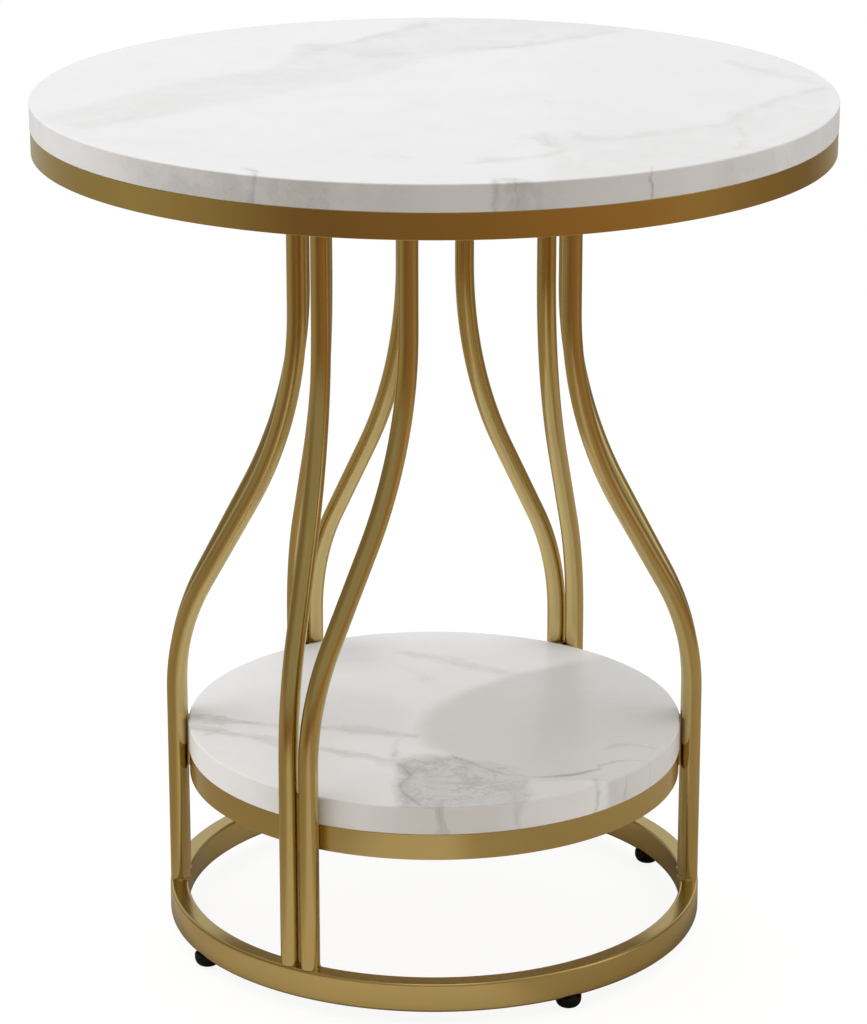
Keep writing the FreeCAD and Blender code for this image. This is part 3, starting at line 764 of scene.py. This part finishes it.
# Moulded domes, widest at the top, with a rounded rim, a parting line and a small flat below.
feet = {
    "circle": 168.0, "first": 30.0, "count": 4, "diameter": 16.5, "flat": 8.0, "top": 7.8, "side": 2.2,
    "rim": 0.5, "recess": 11.4, "recessFloor": 7.0, "seamHeight": 0.35, "seamDepth": 0.12, "seamFlank": 0.1,
    "padDepth": 0.25, "padRim": 0.8, "padFlank": 0.2,
}


def footProfile(foot):
    wide, flat, shoulder = foot["diameter"] / 2, foot["flat"] / 2, foot["top"] - foot["side"]
    padEdge = flat - foot["padRim"]
    pad = [(0, foot["padDepth"]), (padEdge - foot["padFlank"], foot["padDepth"]), (padEdge, 0)]
    steps = 14
    quarter = [math.pi / 2 * n / steps for n in range(steps + 1)]
    dome = [(flat + (wide - flat) * math.sin(a), shoulder * (1 - math.cos(a))) for a in quarter]
    inner, seamLow = wide - foot["seamDepth"], shoulder + foot["seamHeight"]
    seamHigh = seamLow + foot["seamHeight"]
    seam = [(wide, seamLow), (inner, seamLow + foot["seamFlank"]), (inner, seamHigh - foot["seamFlank"]),
            (wide, seamHigh)]
    rim = arc(wide - foot["rim"], foot["top"] - foot["rim"], foot["rim"], 0, 90, 5)
    hollow, hollowFloor = foot["recess"] / 2, foot["recessFloor"]
    well = [(hollow, foot["top"]), (hollow, hollowFloor), (0, hollowFloor)]
    return pad + dome + seam + rim + well


for number in range(feet["count"]):
    name = f"footDome_{number + 1}"
    centre = onCircle(feet["circle"], feet["first"] + 360 / feet["count"] * number)
    piece = newPiece(name, turnedMesh(name, footProfile(feet), segments=56, centre=centre))
    piece.data.materials.append(nylon)
    dress(piece, f"foot_{number + 1}", "black_nylon", f"foot_{number + 1}_base")
print("feet made")

# The plates, spokes, tabs, inserts and studs keep their meshes and get the same finishes.
finishes = {
    "satin_brass_steel": plateBrass, "zinc_steel": zinc, "black_nylon": nylon, "marble_film_board": topMarbleAndEdgeShade,
}
for part in frame["record"]["subparts"]:
    node = frame["nodes"][part["node"]]
    node.data.materials.clear()
    node.data.materials.append(finishes[part["material_slot"]])

# The camera, placed in metres and tipped down in degrees, with a long lens on a frame this high.
view = {"place": (-0.0005, -2.3301, 1.0336), "down": 17.968, "lens": 134.35, "frame": 36.0}
camera = newPiece("camera", bpy.data.cameras.new("camera"))
camera.location = view["place"]
camera.rotation_euler = (math.radians(90 - view["down"]), 0, 0)
camera.data.sensor_fit = "VERTICAL"
camera.data.sensor_height = view["frame"]
camera.data.lens = view["lens"]
bpy.context.scene.camera = camera

studio = {
    "keyPower": 5.0, "keySize": 1800.0, "keyPlace": (-500, 600, 2600),
    "fillPower": 3.0, "fillSize": 1200.0, "fillPlace": (100, -1300, 2300), "aim": (0, 0, 300),
    "roomLevel": 0.72, "screenRadius": 2700.0, "frontWarmth": 0.15,
    "floorRadius": 1100.0, "floorDrop": 0.3, "floorShade": 0.13, "floorGlow": 0.89,
    "floorColour": "#D1CABD", "floorBeside": "#9B8E73", "floorLight": "#D8D4CC",
    # what the metal sees of the floor, painted darker beside the table and outwards as shade: its tone from
    # left to right over 2 m, and outwards over 1 m, with a painted shadow round the base ring
    "floorRun": [
        (0.0, 0.1), (0.27, 0.06), (0.34, 0.14), (0.4, 0.57), (0.43, 0.95), (0.5, 1.0), (0.525, 0.97),
        (0.555, 0.38), (0.59, 0.34), (0.66, 0.27), (0.72, 0.38), (1.0, 0.3)],
    "floorReachAndRingShade": [
        (0.0, 0.95), (0.15, 0.95), (0.17, 0.56), (0.185, 0.6), (0.205, 1.04), (0.26, 1.0), (0.45, 0.88),
        (1.0, 0.88)],
}


def addLamp(name, place, size, power):
    lamp = bpy.data.lights.new(name, "AREA")
    lamp.shape = "SQUARE"
    lamp.size = size * mm
    lamp.energy = power
    item = newPiece(name, lamp)
    item.location = Vector(place) * mm
    item.rotation_euler = (Vector(studio["aim"]) * mm - item.location).to_track_quat("-Z", "Y").to_euler()


addLamp("key", studio["keyPlace"], studio["keySize"], studio["keyPower"])
addLamp("fill", studio["fillPlace"], studio["fillSize"], studio["fillPower"])


# White all round for the camera and for reflections, a little dimmer as light on the table.
def whiteRoom():
    world = bpy.data.worlds.new("studio")
    world.use_nodes = True
    sky = world.node_tree
    sky.nodes.clear()
    path = addNode(sky, "ShaderNodeLightPath").outputs
    mirrored = addNode(sky, "ShaderNodeMath", {0: path["Is Glossy Ray"], 1: path["Is Transmission Ray"]},
                       operation="ADD")
    shown = addNode(sky, "ShaderNodeMath", {0: path["Is Camera Ray"], 1: mirrored}, operation="ADD",
                    use_clamp=True)
    room, white = [addNode(sky, "ShaderNodeBackground", {"Color": (1, 1, 1, 1), "Strength": level})
                   for level in (studio["roomLevel"], 1.0)]
    seen = addNode(sky, "ShaderNodeMixShader", {0: shown, 1: room, 2: white})
    addNode(sky, "ShaderNodeOutputWorld", {"Surface": seen})
    return world


# Matt paper on the floor, pale for the camera. The metal sees it with soft warm stretches and grey stretches
# of painted shade.
def studioPaper():
    material, tree, _ = newMaterial("pale studio paper")
    tree.nodes.clear()
    place = addNode(tree, "ShaderNodeTexCoord").outputs["Object"]
    across = addNode(tree, "ShaderNodeSeparateXYZ", {0: place}).outputs["X"]
    across = addNode(tree, "ShaderNodeMapRange", {"Value": across, "From Min": -1.0, "From Max": 1.0})
    outwards = addNode(tree, "ShaderNodeVectorMath", {0: place}, operation="LENGTH")
    tone = addNode(tree, "ShaderNodeMix", {
        "Factor": curveOver(tree, across, studio["floorRun"]),
        "A": toLinear(studio["floorBeside"]), "B": toLinear(studio["floorColour"])}, data_type="RGBA")
    tone = addNode(tree, "ShaderNodeVectorMath", {
        0: tone, "Scale": curveOver(tree, outwards, studio["floorReachAndRingShade"])}, operation="SCALE")
    path = addNode(tree, "ShaderNodeLightPath").outputs
    colour = addNode(tree, "ShaderNodeMix", {
        "Factor": path["Is Diffuse Ray"], "A": tone, "B": toLinear(studio["floorLight"])}, data_type="RGBA")
    matt = addNode(tree, "ShaderNodeBsdfDiffuse", {"Color": colour})
    shade = studio["floorShade"]
    shaded = addNode(tree, "ShaderNodeBsdfDiffuse", {"Color": (shade, shade, shade, 1)})
    glow = addNode(tree, "ShaderNodeEmission", {"Color": (1, 1, 1, 1), "Strength": studio["floorGlow"]})
    pale = addNode(tree, "ShaderNodeAddShader", {0: shaded, 1: glow})
    seen = addNode(tree, "ShaderNodeMixShader", {0: path["Is Camera Ray"], 1: matt, 2: pale})
    addNode(tree, "ShaderNodeOutputMaterial", {"Surface": seen})
    return material


bpy.context.scene.world = whiteRoom()
floor = newPiece("floor", turnedMesh("floor", [(0, 0), (studio["floorRadius"], 0)], segments=96))
floor.location.z = -studio["floorDrop"] * mm
floor.data.materials.append(studioPaper())

# A round screen with a lid stands beyond the floor, out of the camera's sight. The metal shows
# its tones as long soft stripes: dim and warm in front, grey beside and behind, and one bright
# strip at the right. As light on the table it is strong from both sides, and a little warm in front.
screenTones = [   # degrees from the front, negative to the left, tones from low to high, and the light
    (-180, ("#80807C", "#B8B8B4", "#D2D0CA"), 1.5), (-150, ("#A8A8A8", "#B8B4A8", "#D2D0CA"), 1.55),
    (-118, ("#A09888", "#A49880", "#888478"), 1.95), (-90, ("#988C7C", "#B0A484", "#867A62"), 2.3),
    (-62, ("#8E816C", "#A09070", "#8E8268"), 1.45), (-35, ("#786044", "#7C5D3F", "#A4A08E"), 0.44),
    (0, ("#785434", "#8C6C44", "#A09C8A"), 0.36), (36, ("#7C5838", "#A07848", "#A4A08E"), 0.6),
    (60, ("#907454", "#A47E50", "#B0A890"), 1.1), (72, ("#D8C4A8", "#A08054", "#FFFAEE"), 1.3),
    (84, ("#F4E4CC", "#988058", "#F4ECDC"), 1.6), (94, ("#948068", "#947C58", "#888270"), 1.9),
    (125, ("#7C6C54", "#847058", "#868070"), 1.65), (150, ("#7C6C58", "#A89E90", "#D2D0CA"), 1.55),
    (180, ("#80807C", "#B8B8B4", "#D2D0CA"), 1.5)]
screenRows = [   # height in mm, share of the radius, which tone shows there, share of the light
    (-1500.0, 1.0, 0, 0.4), (-440.0, 1.0, 0, 0.4), (-390.0, 1.0, 1, 0.4), (100.0, 1.0, 1, 0.5),
    (500.0, 1.0, 2, 1.0), (3000.0, 1.0, 2, 1.0), (3000.0, 0.9, 2, 0.86), (3000.0, 0.01, 2, 0.86)]


# The tone that the metal shows at a spot of the screen, and the light that the table gets from it.
def screenTone(degrees, level, share):
    (start, tones, light), (end, nextTones, nextLight) = next(
        pair for pair in zip(screenTones, screenTones[1:]) if pair[1][0] >= degrees)
    way = (degrees - start) / (end - start)
    tone = [a + (b - a) * way for a, b in zip(toLinear(tones[level]), toLinear(nextTones[level]))]
    warmth = studio["frontWarmth"] * max(0.0, math.cos(math.radians(degrees)))
    light = (light + (nextLight - light) * way) * share
    return tone, [light * (1 + warmth), light, light * (1 - warmth), 1.0]


def screenMesh(steps):
    shape = bmesh.new()
    toneLayer = shape.loops.layers.float_color.new("tone")
    lightLayer = shape.loops.layers.float_color.new("light")
    columns = []
    for degrees in [-180 + 360 * step / steps for step in range(steps + 1)]:
        column = []
        for height, reach, level, share in screenRows:
            spot = onCircle(studio["screenRadius"] * reach, degrees - 90, height)
            column.append((shape.verts.new(spot * mm), screenTone(degrees, level, share)))
        columns.append(column)
    for one, two in zip(columns, columns[1:]):
        for low in range(len(screenRows) - 1):
            corners = (one[low], two[low], two[low + 1], one[low + 1])
            face = shape.faces.new([vertex for vertex, _ in corners])
            for loop, (_, (tone, light)) in zip(face.loops, corners):
                loop[toneLayer] = tone
                loop[lightLayer] = light
    mesh = bpy.data.meshes.new("studioScreen")
    shape.to_mesh(mesh)
    shape.free()
    return mesh


def tonedScreen():
    material, tree, _ = newMaterial("toned studio screen")
    tree.nodes.clear()
    tone, light = [addNode(tree, "ShaderNodeAttribute", attribute_name=name) for name in ("tone", "light")]
    path = addNode(tree, "ShaderNodeLightPath").outputs
    colour = addNode(tree, "ShaderNodeMix", {"Factor": path["Is Diffuse Ray"], "A": tone, "B": light},
                     data_type="RGBA")
    glow = addNode(tree, "ShaderNodeEmission", {"Color": colour})
    addNode(tree, "ShaderNodeOutputMaterial", {"Surface": glow})
    return material


screen = newPiece("studioScreen", screenMesh(steps=72))
screen.visible_camera = False
screen.data.materials.append(tonedScreen())
bpy.context.scene.view_settings.view_transform = "Standard"
print("studio made")
